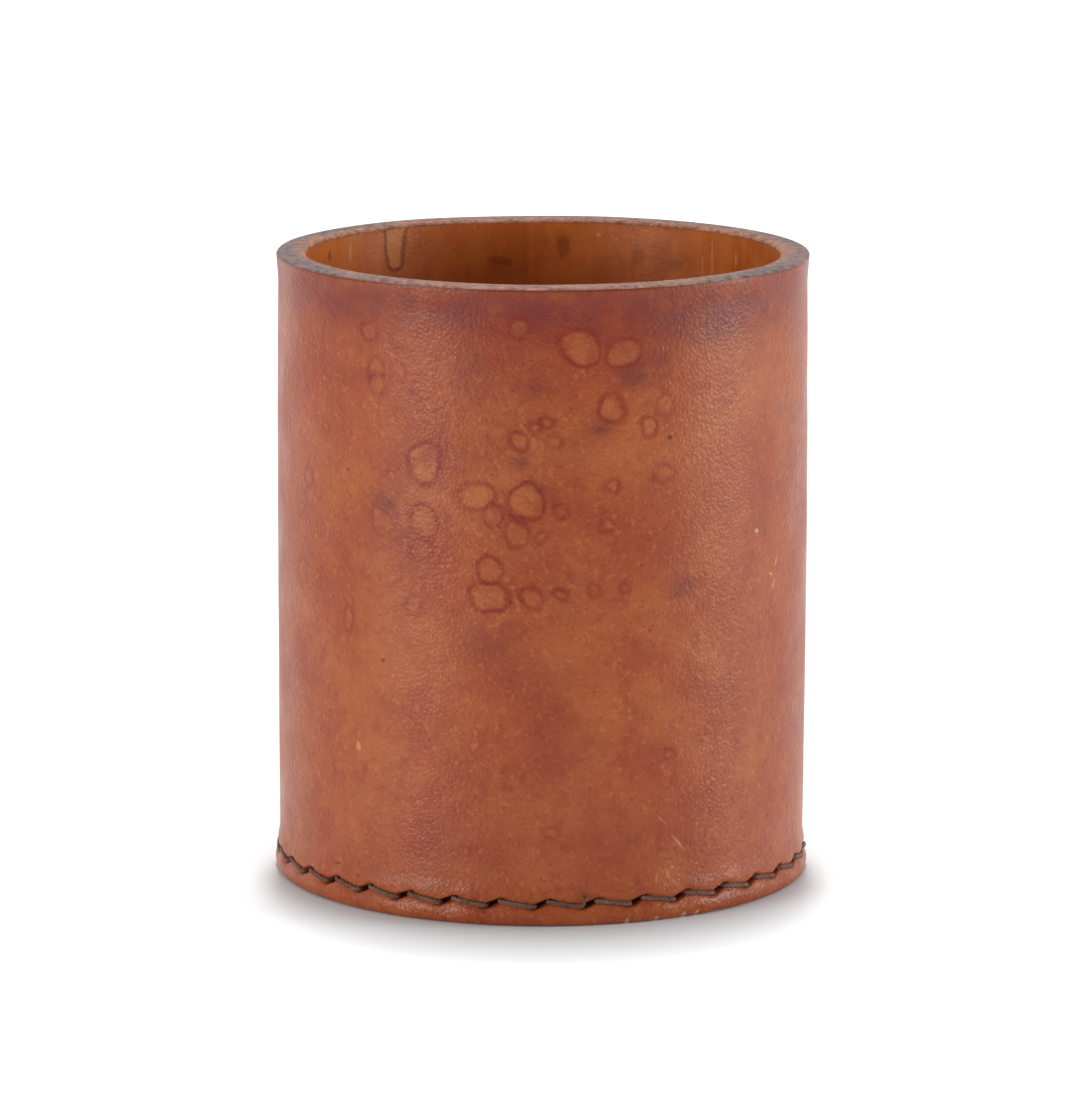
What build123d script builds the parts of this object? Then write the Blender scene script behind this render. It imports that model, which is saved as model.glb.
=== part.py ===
from build123d import *
import math
import os

# Leather pencil cup: a rolled wall, a dished base and one thread that sews them together.
# Millimetres. The origin is the middle of the foot, +Z points up, and the front is -Y.

# Wall
cup_height = 101.0
bore_diameter = 76.0
wall_thickness = 4.4

# Foot of the wall, spread outwards by the base inside it
foot_spread = 0.7
spread_height = 7.4
lip_height = 1.8
foot_bevel = 1.2

# Rim of the wall, a little swollen, with its outer and inner edges pared
rim_swell = 0.3
rim_swell_height = 5.0
rim_outer_bevel = 0.5
rim_inner_bevel_width = 1.0
rim_inner_bevel_depth = 0.8

# Scarf seam at the back, where the skived ends of the wall lie over each other
scarf_length = 9.0
scarf_angle = 3.5
glue_gap = 0.1

# Base, a floor with a flange turned down inside the foot
base_thickness = 3.8
base_shoulder = 2.5
base_inner_bevel = 0.8
base_fit_gap = 0.1
floor_over_stitch = 2.5

# Saddle stitch round the foot
stitch_pitch = 7.6
stitch_height = 3.6
slit_slant = 35.0
pass_gap = 0.5
thread_diameter = 0.9
thread_sides = 6
thread_turn = 0.35
thread_clearance = 0.1
thread_stand = 0.1
tail_slit = 1
tail_length = 2.2
tail_lean = 0.6

# Worked out from the sizes above
bore_radius = bore_diameter / 2
body_radius = bore_radius + wall_thickness
spread_slope = foot_spread / (spread_height - lip_height)
base_lip = bore_radius + foot_spread - base_fit_gap
recess_depth = stitch_height + floor_over_stitch
base_height = recess_depth + base_thickness
thread_radius = thread_diameter / 2
slit_width = thread_diameter + 2 * thread_clearance
pass_distance = thread_diameter + pass_gap
slit_length = pass_distance + slit_width
slit_rise = pass_distance / 2 * math.sin(math.radians(slit_slant))
slit_side = pass_distance / 2 * math.cos(math.radians(slit_slant))

# An odd number of slits lets one thread fill every gap, outside and inside, in two laps
stitch_count = 2 * round((2 * math.pi * body_radius / stitch_pitch - 1) / 2) + 1
pitch_angle = 360 / stitch_count
front_angle = -90


def wall_at(height):
    """Outer radius of the wall at a height on its foot."""
    return body_radius + spread_slope * (spread_height - min(max(height, lip_height), spread_height))


def flange_at(height):
    """Outer radius of the base's flange at a height, in line with the wall's spread foot."""
    return base_lip - spread_slope * max(height - lip_height, 0)


def slit_point(index, side, inside):
    """Where the thread's middle line turns at a slit: side 1 is the slit's upper end, -1 its lower end."""
    height = stitch_height + side * slit_rise
    if inside:
        reach = flange_at(height) - base_thickness - thread_radius - thread_clearance
    else:
        reach = wall_at(height) + thread_stand
    across = side * slit_side
    outward = math.sqrt(reach**2 - across**2)
    return Vector(outward, across, height).rotate(Axis.Z, front_angle + index * pitch_angle)


# Slit: a slanted cut with flat sides, as a pricking iron leaves it, straight through wall and flange
slit_start = base_lip - 2 * base_thickness
slit_end = body_radius + foot_spread + wall_thickness
slit_plane = Plane(origin=(0, -slit_start, stitch_height), x_dir=(1, 0, 0), z_dir=(0, -1, 0))

with BuildPart() as slit_cut:
    with BuildSketch(slit_plane):
        Rectangle(slit_length, slit_width, rotation=slit_slant)
    extrude(amount=slit_end - slit_start)


def thread_bed(start, end):
    """The dent that a tight thread presses into the leather between two points."""
    with BuildPart() as bed:
        with BuildSketch(Plane(origin=start, x_dir=(0, 0, 1), z_dir=end - start)):
            Rectangle(slit_width, slit_width)
        extrude(amount=(end - start).length)
    return bed.part


# The tail stands up along the wall from the lower end of its slit, leaning outwards
stitch_bed = thread_bed(slit_point(0, 1, False), slit_point(1, -1, False))
tail_root = slit_point(tail_slit, -1, False)
tail_outward = Vector(tail_lean, 0, 0).rotate(Axis.Z, front_angle + tail_slit * pitch_angle)
tail_tip = tail_root + tail_outward + Vector(0, 0, tail_length)

with BuildPart() as tail_bed:
    with BuildSketch(Plane(origin=tail_root, x_dir=tail_outward, z_dir=tail_tip - tail_root)):
        Rectangle(slit_width, slit_width)
    extrude(amount=tail_length)

# Wall: one profile turned about the cup's axis, opened along the scarf seam and pierced by the slits
foot_radius = body_radius + foot_spread
rim_radius = body_radius + rim_swell
wall_outline = [
    (foot_radius - foot_bevel, 0),
    (foot_radius, foot_bevel),
    (foot_radius, lip_height),
    (body_radius, spread_height),
    (body_radius, cup_height - rim_swell_height),
    (rim_radius, cup_height - rim_outer_bevel),
    (rim_radius - rim_outer_bevel, cup_height),
    (bore_radius + rim_inner_bevel_width, cup_height),
    (bore_radius, cup_height - rim_inner_bevel_depth),
    (bore_radius, spread_height),
    (bore_radius + foot_spread, lip_height),
    (bore_radius + foot_spread, 0),
]
scarf_x = body_radius * math.sin(math.radians(scarf_angle))
scarf_y = bore_radius + wall_thickness / 2
scarf_lean = math.degrees(math.atan2(wall_thickness, scarf_length))
scarf_reach = 1.5 * math.hypot(wall_thickness, scarf_length)

with BuildPart() as wall_panel:
    with BuildSketch(Plane.XZ):
        with BuildLine():
            Polyline(wall_outline, close=True)
        make_face()
    revolve(axis=Axis.Z)
    with BuildSketch(Plane.XY):
        with Locations((scarf_x, scarf_y)):
            Rectangle(scarf_reach, glue_gap, rotation=scarf_lean)
    extrude(amount=cup_height, mode=Mode.SUBTRACT)
    with PolarLocations(0, stitch_count):
        add(slit_cut.part, mode=Mode.SUBTRACT)
        add(stitch_bed, mode=Mode.SUBTRACT)
    add(tail_bed.part, mode=Mode.SUBTRACT)

# Base: a floor and a flange of one thickness, with the shoulder pared to go in easily
shoulder_height = base_height - base_shoulder
corner_height = recess_depth - base_inner_bevel
base_outline = [
    (0, base_height),
    (flange_at(base_height) - base_shoulder, base_height),
    (flange_at(shoulder_height), shoulder_height),
    (base_lip, lip_height),
    (base_lip, 0),
    (base_lip - base_thickness, 0),
    (base_lip - base_thickness, lip_height),
    (flange_at(corner_height) - base_thickness, corner_height),
    (flange_at(recess_depth) - base_thickness - base_inner_bevel, recess_depth),
    (0, recess_depth),
]

with BuildPart() as base_dish:
    with BuildSketch(Plane.XZ):
        with BuildLine():
            Polyline(base_outline, close=True)
        make_face()
    revolve(axis=Axis.Z)
    with PolarLocations(0, stitch_count):
        add(slit_cut.part, mode=Mode.SUBTRACT)

# Thread: it starts inside the tail's slit and goes round twice. Outside it runs from the upper end of
# a slit to the lower end of the next, inside from a lower end to an upper end, and it ends in the tail.
first_inside = slit_point(tail_slit, -1, True)
thread_points = [(tail_root + first_inside) / 2, first_inside]
for step in range(1, 2 * stitch_count):
    comes_out = step % 2 == 1
    side = 1 if comes_out else -1
    thread_points.append(slit_point(tail_slit + step, side, comes_out))
    thread_points.append(slit_point(tail_slit + step, side, not comes_out))
thread_points += [tail_root, tail_tip]

# Each corner of the route is taken in two half turns
thread_route = [thread_points[0]]
for before, corner, after in zip(thread_points, thread_points[1:], thread_points[2:]):
    thread_route.append(corner + (before - corner).normalized() * thread_turn)
    thread_route.append(corner + (after - corner).normalized() * thread_turn)
thread_route.append(thread_points[-1])

with BuildPart() as saddle_thread:
    with BuildLine() as thread_path:
        Polyline(thread_route)
    with BuildSketch(thread_path.line ^ 0):
        RegularPolygon(thread_radius, thread_sides)
    sweep(path=thread_path.line, transition=Transition.RIGHT)

os.makedirs("parts", exist_ok=True)
for name, piece in (
    ("wall_panel", wall_panel),
    ("base_dish", base_dish),
    ("saddle_thread", saddle_thread),
):
    piece.part.label = name
    export_step(piece.part, f"parts/{name}.step")
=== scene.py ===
import math

import bpy
import numpy as np
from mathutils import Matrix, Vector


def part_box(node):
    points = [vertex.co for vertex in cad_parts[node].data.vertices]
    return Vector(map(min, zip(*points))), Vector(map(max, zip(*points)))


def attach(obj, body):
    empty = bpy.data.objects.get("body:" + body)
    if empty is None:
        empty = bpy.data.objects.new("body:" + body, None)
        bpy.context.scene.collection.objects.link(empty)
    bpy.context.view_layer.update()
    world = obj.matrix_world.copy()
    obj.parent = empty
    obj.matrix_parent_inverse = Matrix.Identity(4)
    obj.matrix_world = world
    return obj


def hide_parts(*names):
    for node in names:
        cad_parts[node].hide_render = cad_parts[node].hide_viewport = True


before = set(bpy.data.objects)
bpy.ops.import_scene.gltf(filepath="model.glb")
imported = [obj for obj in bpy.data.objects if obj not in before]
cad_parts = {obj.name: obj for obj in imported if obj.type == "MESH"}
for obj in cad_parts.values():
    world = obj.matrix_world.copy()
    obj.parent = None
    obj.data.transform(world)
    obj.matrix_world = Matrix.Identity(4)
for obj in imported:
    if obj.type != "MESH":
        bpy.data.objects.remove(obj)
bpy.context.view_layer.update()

# A pencil cup of stitched leather. Shapes are worked out in millimetres and become metres where a mesh
# is made. The origin is the middle of the foot, +Z points up and the front is -Y. Angles run round the
# cup from the front, to the right as the camera sees it, and an arc is such an angle along the wall.
MM = 0.001
chance = np.random.default_rng(35)

# Sizes taken from the CAD parts in model.glb
cup_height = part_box("wall_panel")[1].z / MM
foot_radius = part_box("wall_panel")[1].x / MM
base_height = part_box("base_dish")[1].z / MM

# Wall
wall_thickness = 4.4
foot_spread = 0.7
spread_height = 7.4
lip_height = 1.8
foot_round = 1.2
rim_swell = 0.3
rim_swell_height = 5.0
rim_round = 0.4
rim_bevel_width = 0.5
rim_bevel_depth = 0.5
rim_crown = 0.1
rim_uneven = 0.1
belly = 0.3
broad_uneven = 0.06
close_uneven = 0.02
chip_depth = 0.35
body_radius = foot_radius - foot_spread
bore_radius = body_radius - wall_thickness

# Scarf seam at the back of the wall
scarf_length = 9.0
scarf_angle = math.radians(3.5)
scarf_gap = 0.03
scarf_fade = math.radians(40)
scarf_lift = 0.06
scarf_lean = math.atan2(wall_thickness, scarf_length)

# Base
base_thickness = 3.8
base_fit_gap = 0.1
base_shoulder = 2.5
base_corner = 1.2
base_foot_round = 0.4
base_middle = 0.6
base_columns = 14
pit_depth = 1.0
press_depth = 0.25
floor_uneven = 0.1
floor_sag = 0.25
base_lip = bore_radius + foot_spread - base_fit_gap
recess_depth = base_height - base_thickness

# Stitches
stitch_count = 35
stitch_height = 3.6
slit_slant = math.radians(23)
slit_half_length = 1.85
slit_half_width = 0.42
slit_depth = 1.6
bed_depth = 0.3
pass_half = 1.1
thread_radius = 0.42
thread_stand = -0.12
tail_slit = 1
tail_length = 2.0
tail_lean = 0.3
pitch_angle = 2 * math.pi / stitch_count
pass_side = pass_half * math.cos(slit_slant)
pass_rise = pass_half * math.sin(slit_slant)


# Small tools for shapes

def ease(share):
    """A smooth step from 0 to 1."""
    share = np.clip(share, 0, 1)
    return share * share * (3 - 2 * share)


def bell(distance, width):
    """A smooth bump, 1 in the middle and small beyond one width."""
    return np.exp(-((distance / width) ** 2))


def place(angle, radius, height):
    """Points in space from angles round the cup, radii and heights."""
    return np.stack([radius * np.sin(angle), -radius * np.cos(angle), height + 0 * angle], axis=-1)


def waves(angle, height, count, turns, rises, draw):
    """A smooth, uneven surface between about -1 and 1, which closes on itself round the cup."""
    total = 0
    for _ in range(count):
        turn = draw.integers(1, turns + 1)
        rise = draw.uniform(-rises, rises) * 2 * math.pi / cup_height
        total = total + np.sin(turn * angle + rise * height + draw.uniform(0, 2 * math.pi))
    return total / math.sqrt(count)


def grid_quads(rows, columns, close_rows, close_columns):
    """Quads of a grid of points, counted row by row."""
    row = np.arange(rows if close_rows else rows - 1)[:, None]
    column = np.arange(columns if close_columns else columns - 1)[None, :]
    up = (row + 1) % rows
    along = (column + 1) % columns
    corners = [row * columns + column, row * columns + along, up * columns + along, up * columns + column]
    return np.stack(np.broadcast_arrays(*corners), axis=-1).reshape(-1, 4)


def make_piece(name, points, faces, node, material):
    """A smooth mesh piece that stands for a CAD node."""
    mesh = bpy.data.meshes.new(name)
    mesh.from_pydata((np.asarray(points) * MM).tolist(), [], faces)
    mesh.shade_smooth()
    mesh.materials.append(material)
    piece = bpy.data.objects.new(name, mesh)
    bpy.context.collection.objects.link(piece)
    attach(piece, "root")
    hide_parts(node)
    return piece


def paint(piece, name, values, domain="POINT"):
    """Stores three numbers for each point or face corner, for the materials to read."""
    layer = piece.data.attributes.new(name, "FLOAT_VECTOR", domain)
    layer.data.foreach_set("vector", np.ascontiguousarray(values, dtype=np.float32).ravel())


# Small tools for materials

def srgb(red, green, blue):
    """A colour as it looks on a screen, 0 to 255, as linear light."""
    shares = [value / 255 for value in (red, green, blue)]
    return tuple(v / 12.92 if v <= 0.04045 else ((v + 0.055) / 1.055) ** 2.4 for v in shares) + (1.0,)


class Nodes:
    """A node tree and the plain kinds of node in it."""

    def __init__(self, tree):
        self.tree = tree

    def new(self, kind):
        return self.tree.nodes.new("ShaderNode" + kind)

    def give(self, value, socket):
        """Links a value to a socket, or sets it there."""
        if isinstance(value, bpy.types.NodeSocket):
            self.tree.links.new(value, socket)
        else:
            socket.default_value = value

    def maths(self, operation, *values, clamp=False):
        node = self.new("Math")
        node.operation = operation
        node.use_clamp = clamp
        for value, socket in zip(values, node.inputs):
            self.give(value, socket)
        return node.outputs[0]

    def times(self, first, second, clamp=False):
        return self.maths("MULTIPLY", first, second, clamp=clamp)

    def vector(self, operation, first, second, output="Vector"):
        node = self.new("VectorMath")
        node.operation = operation
        self.give(first, node.inputs[0])
        self.give(second, node.inputs[1])
        return node.outputs[output]

    def split(self, value):
        node = self.new("SeparateXYZ")
        self.give(value, node.inputs[0])
        return node.outputs

    def painted(self, name):
        """The three numbers stored on the mesh under a name."""
        node = self.new("Attribute")
        node.attribute_name = name
        return node.outputs["Vector"]

    def step(self, value, start, end, low=0.0, high=1.0):
        """A smooth step of a value from one level to another."""
        node = self.new("MapRange")
        node.interpolation_type = "SMOOTHSTEP"
        for number, socket in zip((value, start, end, low, high), node.inputs):
            self.give(number, socket)
        return node.outputs[0]

    def ray_kinds(self):
        """1 for rays from the camera, and 1 for mirrored rays and rays through glass."""
        path = self.new("LightPath").outputs
        mirrored = self.maths("MAXIMUM", path["Is Glossy Ray"], path["Is Transmission Ray"])
        return path["Is Camera Ray"], mirrored


class Shader(Nodes):
    """A material and the kinds of node that give it its look."""

    def __init__(self, name):
        self.material = bpy.data.materials.new(name)
        self.material.use_nodes = True
        super().__init__(self.material.node_tree)
        self.surface = self.tree.nodes["Principled BSDF"]
        self.where = self.new("TexCoord").outputs["Object"]

    def noise(self, size, detail=2.0, rough=0.55, stretch=(1, 1, 1), output="Fac"):
        """Soft noise whose patches are about one size across, in millimetres."""
        node = self.new("TexNoise")
        node.inputs["Scale"].default_value = 0.5 / (size * MM)
        node.inputs["Detail"].default_value = detail
        node.inputs["Roughness"].default_value = rough
        self.give(self.vector("MULTIPLY", self.where, stretch), node.inputs["Vector"])
        return node.outputs[output]

    def cells(self, size):
        """Distance from the middle of the nearest of many cells of about one size, in millimetres."""
        node = self.new("TexVoronoi")
        node.inputs["Scale"].default_value = 1 / (size * MM)
        self.give(self.where, node.inputs["Vector"])
        return node.outputs["Distance"]

    def swayed(self, spot, size, amount, rough=0.55):
        """A place stored on the mesh, moved about unevenly by up to half an amount."""
        shift = self.vector("SUBTRACT", self.noise(size, 3.0, rough, output="Color"), (0.5, 0.5, 0.5))
        shift = self.vector("MULTIPLY", shift, (amount, amount, 0))
        return self.vector("ADD", spot, shift)

    def reach(self, across, up):
        """Distance of a place from the middle, by its two parts."""
        squares = self.maths("MULTIPLY_ADD", across, across, self.times(up, up))
        return self.maths("SQRT", squares)

    def mix(self, share, first, second):
        node = self.new("Mix")
        node.data_type = "RGBA"
        self.give(share, node.inputs["Factor"])
        self.give(first, node.inputs["A"])
        self.give(second, node.inputs["B"])
        return node.outputs["Result"]

    def tint(self, tone, colour, share, strength):
        """A tone with a colour mixed in, by a share times a strength."""
        return self.mix(self.times(share, strength), tone, colour)

    def bump(self, height, depth):
        """A fine relief of a depth in millimetres."""
        node = self.new("Bump")
        node.inputs["Distance"].default_value = depth * MM
        self.give(height, node.inputs["Height"])
        return node.outputs["Normal"]

    def finish(self, colour, roughness, normal, **others):
        """Sets the surface's colour, roughness and relief, and its other inputs by name."""
        self.give(colour, self.surface.inputs["Base Color"])
        self.give(roughness, self.surface.inputs["Roughness"])
        self.give(normal, self.surface.inputs["Normal"])
        for name, value in others.items():
            self.give(value, self.surface.inputs[name.replace("_", " ")])
        return self.material


# Stains on the outer wall

# Rings left by drops: arc and height of the middle, half width, half height, darkness of the line,
# lightness inside
RINGS = [
    (5.6, 91.5, 2.9, 3, 1, 0.5), (12.3, 90.5, 2.6, 2.4, 0.8, 0.35), (10.7, 82.1, 2.3, 2.3, 0.9, 0.45),
    (-3.7, 94.5, 1.6, 1.6, 0.75, 0.3), (-3.7, 76.9, 1.2, 1.4, 0.75, 0.4), (-0.9, 79, 0.8, 0.8, 0.75, 0.3),
    (1, 80, 0.8, 0.8, 0.75, 0.3), (1.6, 76.8, 1, 0.9, 0.75, 0.3), (-6.6, 77.5, 1.7, 1.8, 0.5, 0),
    (-10.5, 68.2, 3, 2.2, 0.8, 0.6), (-2.5, 67.7, 2.8, 2.8, 1, 0.45), (-7.2, 65.2, 1.5, 1.5, 0.8, 0.3),
    (-4, 62.7, 1.7, 1.7, 0.7, 0.2), (-0.1, 61.8, 0.9, 0.9, 0.75, 0.3), (-8.1, 56.8, 2.1, 2.1, 0.9, 0.1),
    (-8.3, 52.5, 3, 2.2, 1, 0.5), (-1.8, 52.5, 1.5, 1.5, 0.8, 0.3), (3.2, 52.9, 0.8, 0.8, 0.75, 0.3),
    (8, 53.6, 0.9, 0.9, 0.75, 0.5), (13, 53.8, 0.8, 0.8, 0.75, 0.3), (11, 69.6, 0.9, 0.9, 0.75, 0.6),
    (9.9, 63.3, 1, 1, 0.75, 0.4), (2.8, 65.8, 1, 0.9, 0.75, 0.3), (-18.8, 73.1, 2.8, 3.3, 0.9, 0.6),
    (-18.9, 63.6, 2.2, 2.3, 0.8, 0.2), (-26.2, 63.5, 2.6, 2.5, 0.5, 0), (-26.3, 55.7, 3.4, 3.1, 0.3, 0),
    (-44.2, 67.7, 1.1, 1.5, 0.75, 0.4), (-33.5, 46.3, 1.1, 1.9, 0.55, 0.2),
    (-28, 86.9, 1.4, 1.5, 0.75, 0.3), (-27.2, 84.5, 1.5, 1.7, 0.75, 0.3),
    (-29.2, 92.5, 1.5, 1.5, 0.75, 0.3), (-18.4, 84.7, 2.1, 1.9, 0.4, 0), (42.7, 94.7, 1.7, 1.6, 0.5, 0.4),
    (19.2, 71.3, 1.5, 1.3, 0.75, 0.3), (12.3, 23.9, 2, 1.9, 0.3, 0), (-4.5, 23.7, 1.6, 1.6, 0.35, 0),
    (20.5, 26.8, 0.8, 0.8, 0.75, 0.6), (1.1, 15.2, 1, 0.9, 0.45, 0.1), (-46.6, 52, 1.6, 2, 0.4, 0.2),
    (16.6, 79.1, 1.3, 1.4, 0.75, 0.4), (-19.4, 59.3, 1.9, 1.8, 0.5, 0), (-23.5, 92, 1.2, 1.2, 0.5, 0),
    (-23.8, 86.9, 1.4, 1.4, 0.45, 0), (-39.3, 76.9, 0.9, 0.9, 0.4, 0.7),
    (-39.3, 84.2, 0.9, 0.9, 0.35, 0.6), (-20.2, 50.3, 1.4, 1.3, 0.5, 0.1), (-4.5, 47.3, 1.4, 1.2, 0.5, 0),
    (19.4, 82.1, 1.5, 1.5, 0.45, 0.3), (31.7, 82.8, 1.4, 1.4, 0.45, 0.1),
]

# Soft patches: arc, height, half width, half height, then how dark, purple and pale they are
PATCHES = [
    (14.6, 86.9, 3.2, 1.9, 0.3, 0.9, 0), (18.5, 88.5, 3, 2.2, 0.2, 0.5, 0),
    (8.8, 79, 1.9, 1.5, 0.4, 0.9, 0), (-1.5, 85.9, 3, 2.4, 0.5, 0.5, 0),
    (-3.4, 73.9, 1.4, 0.9, 0.5, 0.8, 0), (-26, 65.5, 2.4, 2.2, 0.2, 0.8, 0),
    (-22.6, 60.5, 3.4, 3.2, 0.1, 0.6, 0), (-17.8, 73.9, 4, 4.2, 0, 0.4, 0),
    (-10.6, 87.3, 3.4, 3.6, 0.2, 0.5, 0), (-0.8, 69.7, 1.8, 0.9, 0.4, 0.7, 0),
    (7, 96.9, 22, 5, 0.7, 0.2, 0), (-14, 97.9, 26, 2.6, 0.3, 0.4, 0), (24, 95.9, 16, 5, 0.3, 0.6, 0),
    (0.7, 34.9, 5, 7, 0.25, 0.15, 0), (-5, 40.9, 4.5, 5, 0.2, 0.1, 0), (3.5, 26.9, 7, 6, 0.25, 0.1, 0),
    (22.7, 53.2, 2.6, 1.5, 0.2, 0.6, 0), (40, 61.3, 1.8, 2, 0.1, 0.6, 0), (-9.5, 45.4, 6, 3, 0.1, 0.4, 0),
    (27, 36.3, 9, 0.7, 0.6, 0.1, 0), (-32.5, 85.1, 1.6, 1.6, 0.5, 0, 0), (-40, 35.7, 3, 1.6, 0.3, 0.2, 0),
    (31, 91.9, 3, 2, 0.1, 0.4, 0), (12, 12.9, 14, 7, 0.3, 0.1, 0), (-16, 12.9, 10, 6, 0.2, 0.2, 0),
    (9.5, 60.9, 16, 9, 0.2, 0, 0), (4, 43.9, 6, 4.5, 0, 0, 0.7), (10, 74.9, 6, 4, 0, 0, 0.5),
    (26, 68.9, 9, 14, 0, 0, 0.4), (-20, 43.9, 12, 8, 0, 0, 0.4), (38, 82.9, 8, 7, 0, 0, 0.6),
    (-38, 74.9, 8, 8, 0, 0, 0.3), (-12, 8.4, 8, 2.4, 0, 0, 0.5), (21, 7.9, 3, 1.6, 0, 0, 0.8),
    (-42, 97.5, 16, 5, 0.8, 0.3, 0), (46, 97.5, 14, 5, 0.7, 0.3, 0), (-18, 96.5, 14, 4, 0.4, 0.2, 0),
    (2, 92.5, 12, 5, 0.4, 0, 0), (95, 97.5, 38, 4.5, 0.6, 0.3, 0), (-95, 97.5, 38, 4.5, 0.6, 0.3, 0),
]

# Small marks: arc, height, half length, half width, turn in degrees, and how pale (above 0) or dark
MARKS = [
    (20.3, 76.9, 0.45, 0.4, 0, -1), (-26.4, 40.9, 0.5, 0.4, 20, -1), (38.5, 60.1, 0.5, 0.4, 0, 1),
    (22.2, 12.5, 1.8, 0.24, -48, 0.45), (19.6, 16.1, 1.2, 0.2, -40, 0.25),
    (43.6, 50.7, 0.9, 0.2, 60, 0.8), (42.8, 52.5, 0.7, 0.2, -20, 0.8), (44.3, 54.3, 0.9, 0.2, 70, 0.7),
    (-36.8, 6.6, 0.9, 0.3, 0, -0.8), (-31.8, 5.4, 0.4, 0.35, 0, -0.7), (-31.5, 26.4, 0.5, 0.8, 10, 0.6),
    (20.6, 7.4, 0.9, 0.26, 105, 0.4), (18.6, 7, 1, 0.24, 84, 0.35), (21.2, 8.3, 0.6, 0.26, 40, 0.35),
    (-15.5, 21.7, 0.4, 0.3, 0, -0.7), (44, 25.4, 0.4, 0.8, 15, -0.6), (-33.5, 70.4, 0.5, 0.35, 0, -0.7),
    (-33.2, 66.3, 0.4, 0.3, 0, -0.8),
]

# Pale chips where the finish is off the lower edge: arc and half width
CHIPS = [(13.8, 0.45), (18.8, 0.5), (20.6, 0.3), (23.9, 0.5), (26.4, 0.5)]

# Marks on the inner face, written as those above
INNER_MARKS = [
    (-82.2, 97.4, 1.7, 0.5, 90, 0.5), (-75.6, 97.6, 1, 0.6, 90, -0.7), (116, 96.2, 1.1, 2.2, 0, -0.45),
    (-121.6, 95.4, 2, 1.2, 90, -0.5), (-112.4, 93.8, 2.2, 0.8, 8, -0.45), (88.2, 95.6, 3.6, 0.3, 90, 0.5),
    (90.4, 95, 3, 0.25, 90, 0.4), (82.2, 96.6, 1.4, 0.3, 90, 0.5), (103, 95, 1.4, 1.6, 0, -0.3),
    (96, 94, 1.6, 1.2, 0, -0.3), (110, 98.4, 0.4, 0.3, 0, 0.8), (107, 97.6, 0.3, 0.3, 0, 0.7),
]

scattered_count = 90

# Places for face corners that no ring or mark may reach
FAR = 99.0
NO_RING = (0.0, 0.0, FAR)
NO_MARK = (9.0, 9.0, 0.0)

# The drip that dried on the inner face: angle round the cup, height and half width of its lower end,
# and how much it widens upwards
drip_angle = math.radians(-140)
drip_height = 95.0
drip_half = 1.5
drip_spread = 0.13


def scattered_rings(count):
    """Rings on the sides and the back, where none is listed."""
    found = []
    for _ in range(count):
        arc = chance.uniform(52, 214)
        height = cup_height * chance.beta(3.0, 2.2)
        half = chance.uniform(0.8, 2.8)
        round_off = chance.uniform(0.85, 1.15)
        line = chance.uniform(0.3, 0.9)
        fill = chance.uniform(0.0, 0.6)
        if arc > body_radius * math.pi:
            arc -= body_radius * 2 * math.pi
        found.append((arc, height, half * round_off, half / round_off, line, fill))
    return found


def apart(rings):
    """Rings in two lists, so that those that overlap are in different ones."""
    layers = [[], []]
    for ring in rings:
        first = layers[0]
        clear = all(math.dist(ring[:2], other[:2]) > ring[2] + other[2] + 1.0 for other in first)
        layers[0 if clear else 1].append(ring)
    return layers


def nearest(distances):
    """For each face, the number of the least of several distances."""
    best, chosen = np.inf, 0
    for number, away in enumerate(distances):
        chosen = np.where(away < best, number, chosen)
        best = np.minimum(away, best)
    return chosen


def stain_corners(rings, arcs, heights, faces):
    """For each face corner, its place in the nearest ring and that ring's size, then the ring's look."""
    middle_arc = arcs[faces].mean(axis=1)
    middle_height = heights[faces].mean(axis=1)

    def past_line(arc, height, half_width, half_height, *_):
        away = np.hypot((middle_arc - arc) / half_width, (middle_height - height) / half_height)
        return (away - 1) * math.sqrt(half_width * half_height)

    chosen = nearest(past_line(*ring) for ring in rings)
    arc, height, half_width, half_height, line, fill = np.array(rings).T[:, chosen, None]
    size = np.sqrt(half_width * half_height)
    across = (arcs[faces] - arc) * size / half_width
    up = (heights[faces] - height) * size / half_height
    spot = np.stack([across, up, size + 0 * up], axis=-1)
    look = np.stack([line + 0 * up, fill + 0 * up, 0 * up], axis=-1)
    return spot, look


def drip_corners(angles, heights, faces, inside):
    """For each face corner of the inner face, its place in the dried drip."""
    across = (angles[faces] - drip_angle) * bore_radius
    up = heights[faces] - drip_height
    across = np.where(inside[:, None], across, FAR)
    return np.stack([across, up, 0 * up], axis=-1)


def mark_corners(marks, arcs, heights, faces):
    """For each face corner, its place in the nearest small mark and that mark's tone."""
    middle_arc = arcs[faces].mean(axis=1)
    middle_height = heights[faces].mean(axis=1)
    chosen = nearest(np.hypot(middle_arc - mark[0], middle_height - mark[1]) - mark[2] for mark in marks)
    arc, height, length, width, turn, tone = np.array(marks).T[:, chosen, None]
    turn = np.radians(turn)
    across = arcs[faces] - arc
    up = heights[faces] - height
    along = (across * np.cos(turn) + up * np.sin(turn)) / length
    aside = (up * np.cos(turn) - across * np.sin(turn)) / width
    return np.stack([along, aside, tone + 0 * up], axis=-1)


# Wall

def outer_radius(height):
    """Radius of the wall's outer face, before the stitches draw it in."""
    spread = foot_spread * ease((spread_height - height) / (spread_height - lip_height))
    swell = rim_swell * ease((height - cup_height + rim_swell_height) / rim_swell_height)
    return body_radius + spread + swell + belly * np.sin(math.pi * np.clip(height / cup_height, 0, 1))


def inner_radius(height):
    """Radius of the wall's inner face."""
    share = (spread_height - height) / (spread_height - lip_height)
    return bore_radius + foot_spread * np.clip(share, 0, 1)


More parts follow.
